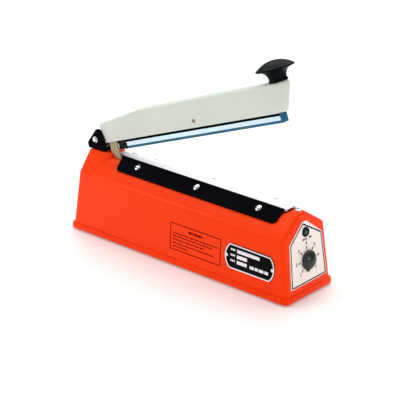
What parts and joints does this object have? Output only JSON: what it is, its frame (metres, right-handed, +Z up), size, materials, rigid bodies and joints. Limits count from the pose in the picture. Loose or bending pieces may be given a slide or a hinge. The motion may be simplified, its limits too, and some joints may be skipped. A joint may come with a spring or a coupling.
{
  "type": "impulse heat sealer",
  "caption": "hand impulse heat sealer with an orange case, a pale hinged arm standing open, black clamp strips and a timer dial",
  "frame": {"origin": "on the table under the middle of the base flange", "axes": "+X along the body from the hinge end to the control end, +Z up, -Y the side with the name plate"},
  "size_m": [0.318, 0.08, 0.2471],
  "materials": {
    "orange_shell": "glossy moulded",
    "plate_steel": "zinc plated",
    "foot_rubber": "matte",
    "screw_steel": "zinc plated",
    "panel_print": "printed, satin",
    "black_plastic": "moulded",
    "lamp_glass": "dark translucent",
    "pot_metal": "stamped",
    "plate_print": "printed black with a bright rim",
    "rivet_plastic": "moulded",
    "black_paint": "baked enamel, semi-gloss",
    "pin_steel": "ground",
    "spring_steel": "drawn wire and strip",
    "phenolic": "laminated",
    "tan_tape": "coated glass cloth",
    "element_metal": "rolled alloy",
    "ptfe_cloth": "coated glass cloth, smooth",
    "bare_strip": "plain, satin",
    "chrome_screw": "plated",
    "brass_part": "machined",
    "core_steel": "varnished laminations",
    "nylon": "moulded",
    "copper_tape": "taped copper winding",
    "board_green": "solder mask",
    "relay_plastic": "moulded",
    "capacitor_skin": "shrink sleeve",
    "black_rubber": "matte",
    "fuse_glass": "clear",
    "lead_skin": "insulated wire",
    "arm_plastic": "satin moulded",
    "pivot_bronze": "turned",
    "tab_plastic": "sheet",
    "black_gloss": "polished",
    "channel_metal": "bright extruded",
    "blue_silicone": "smooth silicone",
    "plunger_plastic": "moulded"
  },
  "bodies": {
    "base": {"housing": "orange_shell", "bottom_plate": "plate_steel", "rubber_feet": "foot_rubber", "bottom_screws": "screw_steel", "control_panel": "panel_print", "lamp_bezel": "black_plastic", "lamp_lens": "lamp_glass", "potentiometer": "pot_metal", "potentiometer_nut": "screw_steel", "name_plate": "plate_print", "name_plate_rivets": "rivet_plastic", "hinge_bracket": "black_paint", "roof_screws": "screw_steel", "hinge_pin": "pin_steel", "pin_retaining_rings": "pin_steel", "torsion_spring": "spring_steel", "platform_bar": "phenolic", "platform_screws": "screw_steel", "insulation_tape": "tan_tape", "heating_element": "element_metal", "nonstick_cloth": "ptfe_cloth", "clamp_strip_front": "black_paint", "clamp_strip_rear": "bare_strip", "clamp_screws_front": "chrome_screw", "clamp_screws_rear": "chrome_screw", "electrodes": "brass_part", "electrode_insulators": "phenolic", "electrode_screws": "screw_steel", "transformer_core": "core_steel", "transformer_bobbin": "nylon", "transformer_winding": "copper_tape", "transformer_frame": "plate_steel", "transformer_screws": "screw_steel", "timer_board": "board_green", "board_standoffs": "screw_steel", "board_relay": "relay_plastic", "board_capacitors": "capacitor_skin", "terminal_block": "nylon", "cord_bush": "black_rubber", "fuse_holder": "black_plastic", "fuse_cap": "black_plastic", "fuse": "fuse_glass", "microswitch": "black_plastic", "microswitch_bracket": "plate_steel", "microswitch_screws": "screw_steel", "internal_leads": "lead_skin"},
    "arm": {"arm_shell": "arm_plastic", "bar_pivot_pin": "pivot_bronze", "switch_tab": "tab_plastic", "arm_handle": "black_gloss", "arm_screws": "screw_steel", "spring_arm_leg": "spring_steel"},
    "seal_bar": {"bar_end_block": "black_plastic", "bar_carrier": "black_paint", "seal_channel": "channel_metal", "silicone_strip": "blue_silicone"},
    "knob": {"timer_knob": "black_gloss", "potentiometer_shaft": "screw_steel"},
    "lever": {"switch_lever": "spring_steel"},
    "plunger": {"switch_plunger": "plunger_plastic"}
  },
  "joints": [
    {"name": "arm_hinge", "type": "hinge", "parent": "base", "child": "arm", "pos_m": [-0.1404, 0, 0.102], "axis": [0, 1, 0], "range_deg": [0, 18.67], "stiffness_Nm_per_rad": 0.6, "springref_deg": -34.38},
    {"name": "bar_rock", "type": "hinge", "parent": "arm", "child": "seal_bar", "pos_m": [0.00213, 0, 0.15818], "axis": [0, 1, 0], "range_deg": [0, 2.6]},
    {"name": "knob_turn", "type": "hinge", "parent": "base", "child": "knob", "pos_m": [0.14919, 0, 0.0395], "axis": [0.9924, 0, 0.1231], "range_deg": [-300, 0]},
    {"name": "switch_lever_swing", "type": "hinge", "parent": "base", "child": "lever", "pos_m": [-0.1285, -0.0059, 0.0712], "axis": [0, 1, 0], "range_deg": [0, 7.9]},
    {"name": "switch_plunger_slide", "type": "slide", "parent": "base", "child": "plunger", "axis": [0, 0, 1], "range_m": [-0.001, 0]}
  ],
  "couplings": [
    {"joint": "bar_rock", "follows": "arm_hinge", "ratio": 0.12991},
    {"joint": "switch_lever_swing", "follows": "arm_hinge", "ratio": 0.41},
    {"joint": "switch_plunger_slide", "follows": "arm_hinge", "m_per_rad": -0.00276}
  ]
}
